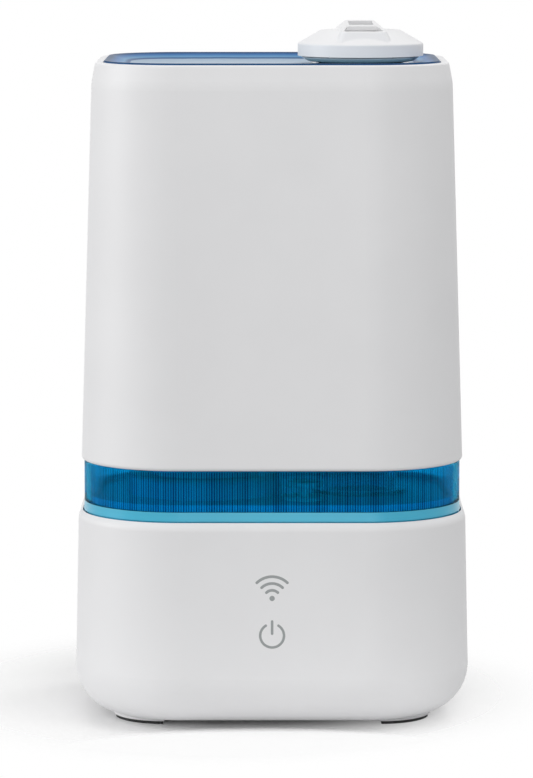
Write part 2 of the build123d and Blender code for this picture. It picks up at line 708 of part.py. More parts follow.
def level_sensor():
    """Small board with a magnetic switch, fixed under the basin floor below the float."""
    half = MAGNET_OUT
    board_low = BASIN_UNDER - BOARD_THICK
    board = block(-half, half, -half, half, board_low, BASIN_UNDER)
    half_x, half_y = REED_LENGTH / 2, REED_WIDTH / 2
    reed = block(-half_x, half_x, -half_y, half_y, board_low - REED_HIGH, board_low)
    return FLOAT_AT * (board + reed)


def main_board():
    half_x, half_y = BOARD_WIDTH / 2, BOARD_DEPTH / 2
    board = block(BOARD_X - half_x, BOARD_X + half_x, -half_y, half_y, BOARD_LOW, BOARD_TOP)
    return board - at_each(BOARD_PLACES, rod(SCREW_SHANK + FIT, BOARD_LOW, BOARD_TOP))


def board_screws():
    tip = BOARD_LOW - BOARD_STANDOFF
    return at_each(BOARD_PLACES, screw(tip, BOARD_TOP, SCREW_SHANK, SCREW_HEAD, SCREW_HEAD_HIGH))


def board_connectors():
    return [place * connector() for place in connector_places().values()]


def connector():
    half_x, half_y = PLUG_WIDTH / 2, PLUG_DEPTH / 2
    return block(-half_x, half_x, -half_y, half_y, BOARD_TOP, BOARD_TOP + PLUG_HIGH)


def connector_places():
    """Connectors on the main board, one for each lead."""
    left = BOARD_X - BOARD_WIDTH / 2 + PLUG_WIDTH
    edge = BOARD_DEPTH / 2 - PLUG_DEPTH
    return {
        "fan": Pos(left, -2 * PLUG_DEPTH, 0),
        "transducer": Pos(left, 0, 0),
        "touch": Pos(BOARD_X - 2 * PLUG_WIDTH, -edge, 0),
        "power": Pos(BOARD_X - 2 * PLUG_WIDTH, edge, 0),
    }


def capacitors():
    x = BOARD_X + BOARD_HOLES_X / 2
    can = rod(CAPACITOR_RADIUS, BOARD_TOP, BOARD_TOP + CAPACITOR_HIGH)
    return at_each([(x, row * CAPACITOR_PITCH) for row in (-1, 0, 1)], can)


def driver_coil():
    coil = rod(COIL_RADIUS - COIL_FLANGE, BOARD_TOP, BOARD_TOP + COIL_HIGH)
    for low in (BOARD_TOP, BOARD_TOP + COIL_HIGH - COIL_FLANGE):
        coil += rod(COIL_RADIUS, low, low + COIL_FLANGE)
    return Pos(BOARD_X, BOARD_DEPTH / 4, 0) * coil


def regulator_cooler():
    half_x, half_y = COOLER_WIDTH / 2, COOLER_DEPTH / 2
    cooler = block(-half_x, half_x, -half_y, half_y, BOARD_TOP, BOARD_TOP + COOLER_HIGH)
    pitch = COOLER_WIDTH / COOLER_FINS
    for gap in range(COOLER_FINS - 1):
        x = -half_x + (gap + 1) * pitch
        low = BOARD_TOP + COOLER_HIGH / 4
        cooler -= block(x - pitch / 4, x + pitch / 4, -half_y, half_y, low, BOARD_TOP + COOLER_HIGH)
    return Pos(BOARD_X, 0, 0) * cooler


def wireless_module():
    half_x, half_y = RADIO_WIDTH / 2, RADIO_DEPTH / 2
    carrier = block(-half_x, half_x, -half_y, half_y, BOARD_TOP, BOARD_TOP + TOUCH_THICK)
    can_top = BOARD_TOP + TOUCH_THICK + RADIO_CAN
    side, end = half_x - RADIO_MARGIN, half_y - RADIO_MARGIN
    can = block(-side, side, -half_y / 2, end, BOARD_TOP + TOUCH_THICK, can_top)
    x = BOARD_X + BOARD_HOLES_X / 2 - CAPACITOR_RADIUS - FIT - half_x
    return Pos(x, half_y - BOARD_DEPTH / 2, 0) * (carrier + can)


def power_inlet():
    back = -JACK_FLANGE_THICK - JACK_LENGTH
    inlet = rod(JACK_FLANGE, -JACK_FLANGE_THICK, -SLIP) + rod(JACK_BODY, back, -JACK_FLANGE_THICK)
    inlet -= rod(JACK_BORE, -JACK_BORE_DEEP, 0)
    inlet += rod(JACK_PIN, -JACK_BORE_DEEP, -JACK_FLANGE_THICK)
    return jack_axis() * inlet


def inlet_nut():
    high = -BASE_WALL - SLIP
    nut = Pos(0, 0, high - NUT_THICK) * extrude(RegularPolygon(NUT_RADIUS, NUT_SIDES), NUT_THICK)
    return jack_axis() * (nut - rod(JACK_BODY + SLIP, high - NUT_THICK, high))


def touch_board():
    half = TOUCH_WIDTH / 2
    return block(-half, half, touch_back() - TOUCH_THICK, touch_back(), TOUCH_LOW, TOUCH_HIGH)


def light_guide():
    half = TOUCH_WIDTH / 2
    back = touch_back() - TOUCH_THICK
    return block(-half, half, back - GUIDE_THICK, back, TOUCH_LOW, TOUCH_HIGH)


def lead(*points):
    """Insulated lead along straight runs joined by arcs."""
    path = FilletPolyline(*points, radius=LEAD_BEND) if len(points) > 2 else Line(*points)
    start = Plane(origin=path @ 0, z_dir=path % 0)
    return sweep(start * Circle(LEAD_RADIUS), path)


def fan_lead():
    plug = connector_places()["fan"].position
    height = BOARD_TOP + PLUG_HIGH / 2
    return lead((FAN_X + FAN_SIZE / 2, plug.Y, height), (plug.X - PLUG_WIDTH / 2, plug.Y, height))


def transducer_lead():
    plug = connector_places()["transducer"].position
    run = (BOARD_TOP + PLUG_HIGH + WELL_LOW) / 2
    end_x = NOZZLE_X - WELL_POCKET - WELL_WALL + FIT
    return lead(
        (plug.X, 0, BOARD_TOP + PLUG_HIGH),
        (plug.X, 0, run),
        (end_x, 0, run),
        (end_x, 0, WELL_LOW),
    )


def touch_lead():
    plug = connector_places()["touch"].position
    start_x = TOUCH_WIDTH / 4
    run = (TOUCH_LOW + TOUCH_HIGH) / 2
    return lead(
        (start_x, touch_back(), run),
        (start_x, touch_back() + LEAD_TAIL, run),
        (plug.X, plug.Y, run),
        (plug.X, plug.Y, BOARD_TOP + PLUG_HIGH),
    )


def power_lead():
    plug = connector_places()["power"].position
    rear = (jack_axis() * Pos(0, 0, -JACK_FLANGE_THICK - JACK_LENGTH)).position
    return lead(
        (rear.X, rear.Y, rear.Z),
        (rear.X, rear.Y - LEAD_TAIL, rear.Z),
        (plug.X, plug.Y, rear.Z),
        (plug.X, plug.Y, BOARD_TOP + PLUG_HIGH),
    )


def tank_bottom():
    """Pan that closes the tank: light strip, floor, dome over the air outlet, joining tongue."""
    seat = SEAT_REACH - SEAT_GAP
    pan = wrap(section(
        (0, PAN_UNDER),
        (seat - PAN_WALL, PAN_UNDER),
        (seat - PAN_WALL, BASIN_TOP),
        (seat, BASIN_TOP),
        (seat, GROOVE_LOW),
        (seat - GROOVE_DEEP, GROOVE_LOW),
        (seat - GROOVE_DEEP, STRIP_LOW),
        (seat, STRIP_LOW),
        (STRIP_REACH, TANK_JOIN),
        (0, TANK_JOIN),
    ))
    pan += core(PAN_UNDER, TANK_JOIN)
    tongue_out = STRIP_REACH - TANK_WALL - FIT
    tongue_in = tongue_out - TONGUE_THICK
    tongue_top = TANK_JOIN + TONGUE_HIGH
    pan += wrap(section(
        (tongue_in, PAN_UNDER),
        (tongue_out, PAN_UNDER),
        (tongue_out, tongue_top),
        (tongue_in, tongue_top),
    ))
    dome_in = DOME_RADIUS - DOME_WALL
    cap_in = DOME_CAP_RADIUS - DOME_WALL
    pan -= FAN_AT * rod(dome_in, PAN_UNDER, TANK_JOIN)
    pan += FAN_AT * spun(
        (dome_in, PAN_UNDER),
        (DOME_RADIUS, PAN_UNDER),
        (DOME_RADIUS, DOME_STEP, DOME_ROUND),
        (DOME_CAP_RADIUS, DOME_STEP),
        (DOME_CAP_RADIUS, DOME_TOP, DOME_ROUND),
        (0, DOME_TOP),
        (0, DOME_TOP - DOME_WALL),
        (cap_in, DOME_TOP - DOME_WALL),
        (cap_in, DOME_STEP - DOME_WALL),
        (dome_in, DOME_STEP - DOME_WALL),
    )
    pan -= NOZZLE_AT * rod(TUBE_BORE + TUBE_WALL + SLIP, PAN_UNDER, TANK_JOIN)
    return pan - VALVE_AT * rod(VALVE_RADIUS + SLIP, PAN_UNDER, TANK_JOIN)


def sleeve_inner_shoulder():
    """Reach of the sleeve's inside where its side turns in."""
    return SLEEVE_LOW - SLEEVE_LEAN - SLEEVE_WALL


def tank_body():
    neck = SLEEVE_LOW - SLEEVE_WALL - SLEEVE_SLACK
    shoulder = sleeve_inner_shoulder() - TANK_SHOULDER_SLACK
    shoulder_z = SHOULDER_Z - SLEEVE_WALL
    band_in = STRIP_REACH - TANK_WALL
    return wrap(section(
        (STRIP_REACH, TANK_JOIN),
        (STRIP_REACH, BAND_TOP),
        (neck, BAND_TOP),
        (shoulder, shoulder_z, TANK_SHOULDER_ROUND),
        (TANK_MOUTH_REACH + TANK_WALL, TANK_MOUTH),
        (TANK_MOUTH_REACH, TANK_MOUTH),
        (shoulder - TANK_WALL, shoulder_z, TANK_SHOULDER_ROUND - TANK_WALL),
        (neck - TANK_WALL, BAND_TOP),
        (band_in, BAND_TOP - TANK_WALL),
        (band_in, TANK_JOIN),
    ))


def tank_sleeve():
    shoulder = SLEEVE_LOW - SLEEVE_LEAN
    return wrap(section(
        (SLEEVE_LOW, SLEEVE_FOOT, SLEEVE_FOOT_ROUND),
        (shoulder, SHOULDER_Z, SHOULDER_ROUND),
        (SLEEVE_RIM, SLEEVE_TOP, SLEEVE_TOP_ROUND),
        (OPENING_REACH, SLEEVE_TOP),
        (OPENING_REACH, SLEEVE_TOP - SLEEVE_EDGE),
        (SLEEVE_RIM - SLEEVE_WALL, SLEEVE_TOP - SLEEVE_EDGE),
        (sleeve_inner_shoulder(), SHOULDER_Z, SHOULDER_ROUND - SLEEVE_WALL),
        (SLEEVE_LOW - SLEEVE_WALL, SLEEVE_FOOT),
    ))


def mist_tube():
    outer = TUBE_BORE + TUBE_WALL
    pipe = tube(TUBE_BORE, outer, TUBE_LOW, TUBE_TOP)
    flange = tube(TUBE_BORE, outer + TUBE_FLANGE, TANK_JOIN, TANK_JOIN + TUBE_FLANGE_THICK)
    return NOZZLE_AT * (pipe + flange)


def mist_tube_gasket():
    outer = TUBE_BORE + TUBE_WALL
    return NOZZLE_AT * tube(outer + SLIP, outer + TUBE_SEAL_THICK, TUBE_TOP - TUBE_SEAL_HIGH, TUBE_TOP)


def valve_body():
    bore = VALVE_RADIUS - VALVE_WALL
    body = tube(bore, VALVE_RADIUS, VALVE_LOW, VALVE_SEAT)
    body += tube(bore, VALVE_RADIUS + VALVE_FLANGE, TANK_JOIN, VALVE_SEAT)
    hole = VALVE_STEM + FIT
    hub = hole + VALVE_WALL
    body += tube(hole, hub, WEB_TOP - WEB_THICK, WEB_TOP)
    for spoke in range(WEB_SPOKES):
        half = VALVE_WALL / 2
        arm = block((hole + hub) / 2, bore + half, -half, half, WEB_TOP - WEB_THICK, WEB_TOP)
        body += Rot(0, 0, 360 / WEB_SPOKES * spoke) * arm
    return VALVE_AT * body


def valve_plunger():
    head_low = VALVE_SEAL_LOW + VALVE_SEAL_THICK
    head_top = head_low + VALVE_HEAD_THICK
    plunger = rod(VALVE_STEM, BUTTON_LOW, head_top) + rod(VALVE_HEAD, head_low, head_top)
    return VALVE_AT * (plunger + rod(BUTTON_RADIUS, BUTTON_LOW, BUTTON_TOP))


def valve_seal():
    return VALVE_AT * tube(VALVE_STEM + SLIP, VALVE_HEAD, VALVE_SEAL_LOW, VALVE_SEAL_LOW + VALVE_SEAL_THICK)


def valve_spring():
    low = BUTTON_TOP + SPRING_WIRE + SLIP
    high = WEB_TOP - WEB_THICK - SPRING_WIRE - SLIP
    coil = Helix((high - low) / SPRING_TURNS, high - low, SPRING_RADIUS)
    start = Plane(origin=coil @ 0, z_dir=coil % 0)
    return VALVE_AT * Pos(0, 0, low) * sweep(start * Circle(SPRING_WIRE), coil, is_frenet=True)


def lid():
    """Shallow dish inside a flat edge, a skirt into the tank, and a hole for the funnel's socket."""
    under = DISH_FLOOR - LID_THICK
    skirt_in = SKIRT_REACH - SKIRT_THICK
    edge_in = LID_REACH - LID_EDGE
    fall = (LID_RIM - DISH_FLOOR) / (edge_in - DISH_REACH)
    dish = wrap(section(
        (0, under),
        (DISH_REACH, under),
        (skirt_in, under + fall * (skirt_in - DISH_REACH)),
        (skirt_in, SKIRT_LOW),
        (SKIRT_REACH, SKIRT_LOW),
        (SKIRT_REACH, TANK_MOUTH),
        (LID_REACH, TANK_MOUTH),
        (LID_REACH, LID_RIM, LID_EDGE_ROUND),
        (edge_in, LID_RIM, LID_EDGE_ROUND),
        (DISH_REACH, DISH_FLOOR, DISH_ROUND),
        (0, DISH_FLOOR),
    ))
    dish += core(under, DISH_FLOOR)
    return dish - NOZZLE_AT * rod(socket_outside() + SLIP, under, DISH_FLOOR)


def socket_outside():
    """Outer radius of the socket that takes the mist tube."""
    return TUBE_BORE + TUBE_WALL + TUBE_SEAL_THICK + FIT + SOCKET_WALL


def lid_funnel():
    """Bowl under the nozzle, with the neck's seat and the socket over the mist tube."""
    under = DISH_FLOOR - LID_THICK
    lip_top = DISH_FLOOR + FUNNEL_LIP_THICK
    outer = socket_outside()
    return NOZZLE_AT * spun(
        (NECK_RADIUS + FIT, under),
        (outer - SOCKET_WALL, under),
        (outer - SOCKET_WALL, SOCKET_LOW),
        (outer, SOCKET_LOW),
        (outer, DISH_FLOOR),
        (outer + FUNNEL_LIP, DISH_FLOOR),
        (outer + FUNNEL_LIP, lip_top),
        (FUNNEL_FOOT, lip_top),
        (FUNNEL_BELLY, FUNNEL_BELLY_Z, FUNNEL_ROUND),
        (FUNNEL_RADIUS, FUNNEL_TOP),
        (FUNNEL_RADIUS - FUNNEL_WALL, FUNNEL_TOP),
        (FUNNEL_BELLY - FUNNEL_WALL / 2, FUNNEL_BELLY_Z + FUNNEL_WALL, FUNNEL_ROUND - FUNNEL_WALL),
        (FUNNEL_WELL, lip_top + FUNNEL_WALL),
        (FUNNEL_WELL, DISH_FLOOR),
        (NECK_RADIUS + FIT, DISH_FLOOR),
    )


def lid_seal():
    outer = SKIRT_REACH + LID_SEAL_THICK
    top = LID_SEAL_LOW + LID_SEAL_HIGH
    return wrap(section(
        (SKIRT_REACH, LID_SEAL_LOW),
        (outer, LID_SEAL_LOW),
        (outer, top),
        (SKIRT_REACH, top),
    ))


def crown_top(y):
    """Height of the crown's sloping top at a distance along Y."""
    return CROWN_BROW_Z + (y + CROWN_BROW) * (CROWN_TOP - CROWN_BROW_Z) / (CROWN_PEAK + CROWN_BROW)


def four_corners(front, rear):
    """Flat face from its front and rear edges, each given as (y, height, half width)."""
    (front_y, front_z, front_half), (rear_y, rear_z, rear_half) = front, rear
    return make_face(Polyline(
        (-front_half, front_y, front_z),
        (front_half, front_y, front_z),
        (rear_half, rear_y, rear_z),
        (-rear_half, rear_y, rear_z),
        close=True,
    ))


def lowest(edge):
    """Height of an edge's lower end."""
    return min(vertex.Z for vertex in edge.vertices())


def highest(edge):
    """Height of an edge's upper end."""
    return max(vertex.Z for vertex in edge.vertices())


def crown():
    """Raised crown of the nozzle: a blunt wedge that climbs towards the back."""
    foot_face = four_corners(
        (-CROWN_FOOT_FRONT, CAP_EDGE, CROWN_FOOT_FRONT_HALF),
        (CROWN_FOOT_BACK, CAP_EDGE, CROWN_FOOT_BACK_HALF),
    )
    top_face = four_corners(
        (-CROWN_BROW, CROWN_BROW_Z, CROWN_BROW_HALF),
        (CROWN_PEAK, CROWN_TOP, CROWN_TOP_HALF),
    )
    wedge = loft([foot_face.face(), top_face.face()], ruled=True)
    middle = (CAP_EDGE + CROWN_BROW_Z) / 2
    rising = [edge for edge in wedge.edges() if lowest(edge) < middle < highest(edge)]
    wedge = fillet(rising, CROWN_CORNER)
    rim = [edge for edge in wedge.edges() if lowest(edge) > middle]
    return fillet(rim, CROWN_EDGE) & rod(CAP_RADIUS - CAP_EDGE_ROUND, CAP_EDGE, CROWN_TOP)


def chamber():
    """Space inside the crown that feeds both slots."""
    front, rear = SLOT_FRONT - FIT, UPPER_SLOT_REAR + FIT
    wide = SLOT_FRONT_HALF + FIT
    floor = THROAT_LOW + CAP_WALL
    low = four_corners((front, floor, wide), (rear, floor, wide))
    high = four_corners(
        (front, crown_top(front) - CROWN_WALL, wide),
        (rear, crown_top(rear) - CROWN_WALL, UPPER_SLOT_HALF + FIT),
    )
    return loft([low.face(), high.face()], ruled=True)


def throat():
    """Block that carries the chamber's walls down inside the cap, forwards of the neck."""
    half = SLOT_FRONT_HALF + FIT + CROWN_WALL
    front = SLOT_FRONT - FIT - CROWN_WALL
    return block(-half, half, front, 0, THROAT_LOW, CAP_EDGE + CAP_WALL)


def slot_cut(front, rear, front_half, rear_half):
    """Tapering slot through the crown's sloping top."""
    corners = [(-front_half, front), (front_half, front), (rear_half, rear), (-rear_half, rear)]
    outline = make_face(Polyline(*corners, close=True))
    return Pos(0, 0, CAP_EDGE + CAP_WALL) * extrude(outline, CROWN_TOP - CAP_EDGE)


def nozzle():
    """Round cap on a neck, with a crown whose two slots send the mist up and forwards."""
    cap_in = CAP_RADIUS - CAP_WALL
    under = PLATEAU_Z - CAP_WALL
    cap = spun(
        (0, CAP_LOW),
        (CAP_RADIUS, CAP_LOW),
        (CAP_RADIUS, CAP_EDGE, CAP_EDGE_ROUND),
        (PLATEAU_RADIUS, PLATEAU_Z, PLATEAU_ROUND),
        (0, PLATEAU_Z),
    )
    hollow = spun(
        (0, CAP_LOW),
        (cap_in, CAP_LOW),
        (cap_in, CAP_EDGE - CAP_WALL),
        (PLATEAU_RADIUS - CAP_WALL, under),
        (0, under),
    )
    raised = crown()
    body = cap + raised
    body = fillet(new_edges(cap, raised, combined=body), CROWN_BLEND) - hollow
    body += rod(NECK_RADIUS, NECK_LOW, under)
    body += rod(NECK_RADIUS + COLLAR_WIDTH, DISH_FLOOR + FIT, DISH_FLOOR + FIT + COLLAR_HIGH)
    body += throat()
    body -= rod(NECK_RADIUS - NECK_WALL, NECK_LOW, under) + chamber()
    body -= slot_cut(SLOT_FRONT, SLOT_REAR, SLOT_FRONT_HALF, SLOT_REAR_HALF)
    body -= slot_cut(UPPER_SLOT_FRONT, UPPER_SLOT_REAR, UPPER_SLOT_HALF, UPPER_SLOT_HALF)
    return NOZZLE_AT * Rot(0, 0, NOZZLE_TURN) * body


def model():
    """Every piece by name."""
    outside = base_outside()
    power_symbol, wireless_symbol = icon_solids(outside)
    pieces = {
        "base_shell": base_shell(outside, [power_symbol, wireless_symbol]),
        "power_symbol": power_symbol,
        "wireless_symbol": wireless_symbol,
    }
    makers = (
        rubber_feet, bottom_plate, bottom_screws, fan_frame, fan_rotor, fan_screws, air_duct,
        basin, basin_gasket, air_outlet_hood, transducer_seal, transducer_disc, transducer_heat_sink,
        transducer_screws, float_body, float_magnet, float_stop, level_sensor, main_board, board_screws,
        board_connectors, capacitors, driver_coil, regulator_cooler, wireless_module, power_inlet,
        inlet_nut, touch_board, light_guide, fan_lead, transducer_lead, touch_lead, power_lead,
        tank_bottom, tank_body, tank_sleeve, mist_tube, mist_tube_gasket, valve_body, valve_plunger,
        valve_seal, valve_spring, lid, lid_funnel, lid_seal, nozzle,
    )
    pieces.update({maker.__name__: maker() for maker in makers})
    return pieces


os.makedirs("parts", exist_ok=True)
for name, piece in model().items():
    shapes = piece if isinstance(piece, list) else [piece]
    solids = [solid for shape in shapes for solid in shape.solids()]
    export_step(solids[0] if len(solids) == 1 else Compound(solids), f"parts/{name}.step")
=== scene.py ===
"""Looks of the cool mist humidifier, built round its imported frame.

Metres, +Z up, front towards -Y, nozzle towards +X. Every level of the body has the same plan: a core
rectangle grown outwards by a reach, so the ribbed tank wall is drawn as (reach, height) corners.
"""
import json
import math

import bpy
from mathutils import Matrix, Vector


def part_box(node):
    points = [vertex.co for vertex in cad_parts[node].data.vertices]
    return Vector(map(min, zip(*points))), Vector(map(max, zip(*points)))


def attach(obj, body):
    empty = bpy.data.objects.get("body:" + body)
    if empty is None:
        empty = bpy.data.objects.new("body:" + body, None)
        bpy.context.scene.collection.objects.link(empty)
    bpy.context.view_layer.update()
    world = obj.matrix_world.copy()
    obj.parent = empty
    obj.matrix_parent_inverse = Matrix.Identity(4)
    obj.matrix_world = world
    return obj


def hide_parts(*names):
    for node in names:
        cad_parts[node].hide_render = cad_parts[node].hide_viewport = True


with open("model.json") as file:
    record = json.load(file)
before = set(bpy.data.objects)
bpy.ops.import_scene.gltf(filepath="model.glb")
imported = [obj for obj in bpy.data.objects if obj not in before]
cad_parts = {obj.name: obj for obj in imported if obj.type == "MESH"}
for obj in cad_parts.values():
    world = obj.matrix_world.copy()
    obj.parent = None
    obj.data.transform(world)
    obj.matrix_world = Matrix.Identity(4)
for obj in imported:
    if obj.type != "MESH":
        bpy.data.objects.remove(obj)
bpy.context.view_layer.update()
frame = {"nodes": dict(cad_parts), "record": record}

MM = 0.001
QUARTER = math.pi / 2

# Photograph and camera
PHOTO_WIDTH, PHOTO_HEIGHT = 533, 778
FOCAL_PIXELS = 4186
SENSOR = 36.0
CAMERA_PLACE = (-0.0024, -1.840, 0.366)
CAMERA_DIP = 6.955                  # degrees below level

# Plan and section of the tank wall
CORE_X, CORE_Y = 40 * MM, 28 * MM   # half sizes
BAND_TOP = 114.3 * MM               # shoulder under the white sleeve
NECK_REACH = 40.8 * MM              # wall inside the sleeve, at its foot
SHOULDER_REACH = 35.3 * MM
SHOULDER_Z = 276.7 * MM
SHOULDER_ROUND = 11 * MM
MOUTH_REACH = 31.2 * MM
WALL = 2 * MM
ROUND_STEPS = 6
CREASE = 35                         # degrees from which an edge of the wall stays sharp

# Ribs moulded on the outside of the clear band
RIB_PITCH = 1.1 * MM
RIB_DEPTH = 0.14 * MM
RIB_STEPS = 6
RIB_RUN_OUT = 0.5 * MM              # height over which a rib fades into the plain edge
RIB_SHADE_ATTRIBUTE = "groove"                   # mesh attribute for the painted light and shade on the ribs: 0 on a rib's crest, 1 in the groove beside it
RIB_GRAIN = 700.0                   # noise from rib to rib, drawn out upwards
RIB_STRETCH = (1, 1, 0.004)
RIB_DRIFT = 0.25                    # how far that noise moves the attribute's value, and so the painted shade
RIB_HIGHLIGHT_AT, RIB_SHADE_AT = 0.1, 0.7       # attribute values where the painted highlight is palest and the painted shade is deepest

# Noise in the materials: scales per metre, and what they change
NOISE_DETAIL = 3.0
NOISE_LOW, NOISE_HIGH = 0.3, 0.7    # most of a noise lies between these
DRIFT_LOW, DRIFT_HIGH = 0.35, 0.65  # ends of a slow drift of colour
MOULD_DRIFT = 22.0
MOULD_GRAIN = 900.0
MOULD_DETAIL = 2.0
MOULD_GLOSS = 0.03                  # change of roughness, either way
MOULD_BUMP = 0.03
MOULD_BUMP_HEIGHT = 0.2 * MM
TINT_DRIFT = 16.0
TINT_GLOSS = 0.1                    # share of the roughness that changes, either way
LAYER_GRAIN = 60.0
LAYER_DRIFT = 0.004                 # share of the piece's height
STREAK_GRAIN = 300.0
STREAK_DETAIL = 4.0
STREAK_GLOSS = 0.08
STREAK_BUMP = 0.05
STREAK_BUMP_HEIGHT = 0.1 * MM

# Circuit boards
TRACK_SCALE = 260.0
TRACK_GREENS = (0.020, 0.190, 0.075), (0.012, 0.140, 0.055)
GAP_GREEN = (0.008, 0.085, 0.035)
GAP_SIZE = 0.03
MASK_GRAIN = 400.0
MASK_ROUGHNESS = 0.28, 0.42

# Light: name, place, size and watts of each lamp
AMBIENT = 0.39
LAMP_AIM = (0, 0, 0.15)
LAMPS = (
    ("left_box", (-1.8, -0.2, 0.6), 0.9, 15.0),
    ("front_box", (0.3, -2.6, 0.7), 1.0, 17.0),
    ("top_box", (0.0, 0.1, 2.0), 1.4, 5.5),
    ("top_front_box", (0.1, -0.8, 1.8), 1.0, 4.5),
    ("right_high_box", (0.9, -0.7, 1.5), 0.6, 2.8),
    ("right_back_box", (0.8, 0.7, 1.5), 0.5, 4.0),
)

# Floor
FLOOR_RADIUS = 0.22
FLOOR_STEPS = 64
FLOOR_GRAIN = 6.0
FLOOR_PALE, FLOOR_DEEP = 0.95, 0.94
FLOOR_ROUGHNESS = 0.08
FLOOR_INDEX = 1.06
FLOOR_FADE = 0.09                   # distance from which it fades
SEEN_SQUEEZE = (1.4, 1.3, 1.0)      # for the camera it fades sooner at the sides and in front
SEEN_SHIFT = (0.028, -0.039, 0)
PATCH_X, PATCH_Y = 0.13, 0.075      # half sizes of a patch in front of the object where the camera sees the floor's contact shadow painted out paler
PATCH_AWAY = 0.125
PATCH_FADE = (1.0, 0.80, 0.85)      # from the patch's edge to this share of it, fading by that much


def grey(level):
    return (level, level, level)


def solid(colour):
    return (*colour, 1)


def rounded(corners):
    """Points of a section with its corners rounded, from (reach, height, round) corners."""
    points = []
    for index, (reach, height, radius) in enumerate(corners):
        if not radius:
            points.append((reach, height))
            continue
        before, after = corners[index - 1], corners[(index + 1) % len(corners)]
        to_before = math.atan2(before[1] - height, before[0] - reach)
        to_after = math.atan2(after[1] - height, after[0] - reach)
        between = math.remainder(to_after - to_before, math.tau)
        half = abs(between) / 2
        toward = to_before + between / 2
        away = radius / math.sin(half)
        middle = (reach + away * math.cos(toward), height + away * math.sin(toward))
        turn = math.copysign(math.pi - 2 * half, between)
        for step in range(ROUND_STEPS + 1):
            angle = toward + math.pi + (step / ROUND_STEPS - 0.5) * turn
            points.append((middle[0] + radius * math.cos(angle), middle[1] + radius * math.sin(angle)))
    return points


def rib_points(length):
    """How many points a run of whole ribs takes."""
    return round(length / RIB_PITCH) * RIB_STEPS


def across_rib(step):
    """Place across a rib, from -1 in one groove to 1 in the next."""
    return 2 * (step % RIB_STEPS) / RIB_STEPS - 1


def plan_stations(reach):
    """Stations round the plan as (core x, core y, out x, out y, place across a rib)."""
    stations = []
    sides = ((CORE_X, CORE_Y), (CORE_Y, CORE_X)) * 2
    for number, (half, off) in enumerate(sides):
        along = number * QUARTER
        out = (math.sin(along), -math.cos(along))
        run = (math.cos(along), math.sin(along))
        count = rib_points(2 * half)
        for step in range(count):
            slide = 2 * half * (step / count - 0.5)
            spot = (out[0] * off + run[0] * slide, out[1] * off + run[1] * slide)
            stations.append((*spot, *out, across_rib(step)))
        corner = (out[0] * off + run[0] * half, out[1] * off + run[1] * half)
        count = rib_points(reach * QUARTER)
        for step in range(count):
            angle = along - QUARTER + QUARTER * step / count
            stations.append((*corner, math.cos(angle), math.sin(angle), across_rib(step)))
    return stations


def ribbed_tank():
    """The clear tank wall as one closed mesh, with upright ribs round the band below the sleeve."""
    low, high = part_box("tank_body")
    band = high[0] - CORE_X
    join, mouth = low[2], high[2]
    outside = [
        (NECK_REACH, BAND_TOP, 0),
        (SHOULDER_REACH, SHOULDER_Z, SHOULDER_ROUND),
        (MOUTH_REACH + WALL, mouth, 0),
    ]
    inside = [
        (MOUTH_REACH, mouth, 0),
        (SHOULDER_REACH - WALL, SHOULDER_Z, SHOULDER_ROUND - WALL),
        (NECK_REACH - WALL, BAND_TOP, 0),
        (band - WALL, BAND_TOP - WALL, 0),
        (band - WALL, join, 0),
    ]
    wall = rounded([(band, BAND_TOP, 0), *outside, *inside, (band, join, 0)])
    rows = [(reach, height, 0) for reach, height in wall[1:]]
    rows.append((band, join + RIB_RUN_OUT, RIB_DEPTH))
    rows.append((band, BAND_TOP - RIB_RUN_OUT, RIB_DEPTH))
    rows.append((band, BAND_TOP, 0))
    stations = plan_stations(band)
    points = []
    rib_shade_values = []
    for reach, height, depth in rows:
        for x, y, out_x, out_y, across in stations:
            grown = reach - depth * across ** 2
            points.append((x + grown * out_x, y + grown * out_y, height))
            rib_shade_values.append(across ** 2 if depth else 0)
    around = len(stations)
    faces = []
    for row in range(len(rows)):
        below, above = row * around, (row + 1) % len(rows) * around
        for step in range(around):
            after = (step + 1) % around
            faces.append((below + step, below + after, above + after, above + step))
    mesh = bpy.data.meshes.new("ribbed_tank_wall")
    mesh.from_pydata(points, [], faces)
    mesh.polygons.foreach_set("use_smooth", [True] * len(faces))
    mesh.set_sharp_from_angle(angle=math.radians(CREASE))
    mesh.attributes.new(RIB_SHADE_ATTRIBUTE, "FLOAT", "POINT").data.foreach_set("value", rib_shade_values)
    mesh.update()
    return bpy.data.objects.new("ribbed_tank_wall", mesh)


def combined(tree, operation, first, second):
    """One value from two, by a Math node."""
    made = tree.nodes.new("ShaderNodeMath")
    made.operation = operation
    tree.links.new(first, made.inputs[0])
    tree.links.new(second, made.inputs[1])
    return made.outputs["Value"]


def mixed(tree, share, first, second, end):
    """Mixes two shaders by a share of the second, into the node at the tree's end."""
    made = tree.nodes.new("ShaderNodeMixShader")
    tree.links.new(share, made.inputs["Fac"])
    tree.links.new(first, made.inputs[1])
    tree.links.new(second, made.inputs[2])
    tree.links.new(made.outputs["Shader"], tree.nodes[end].inputs["Surface"])


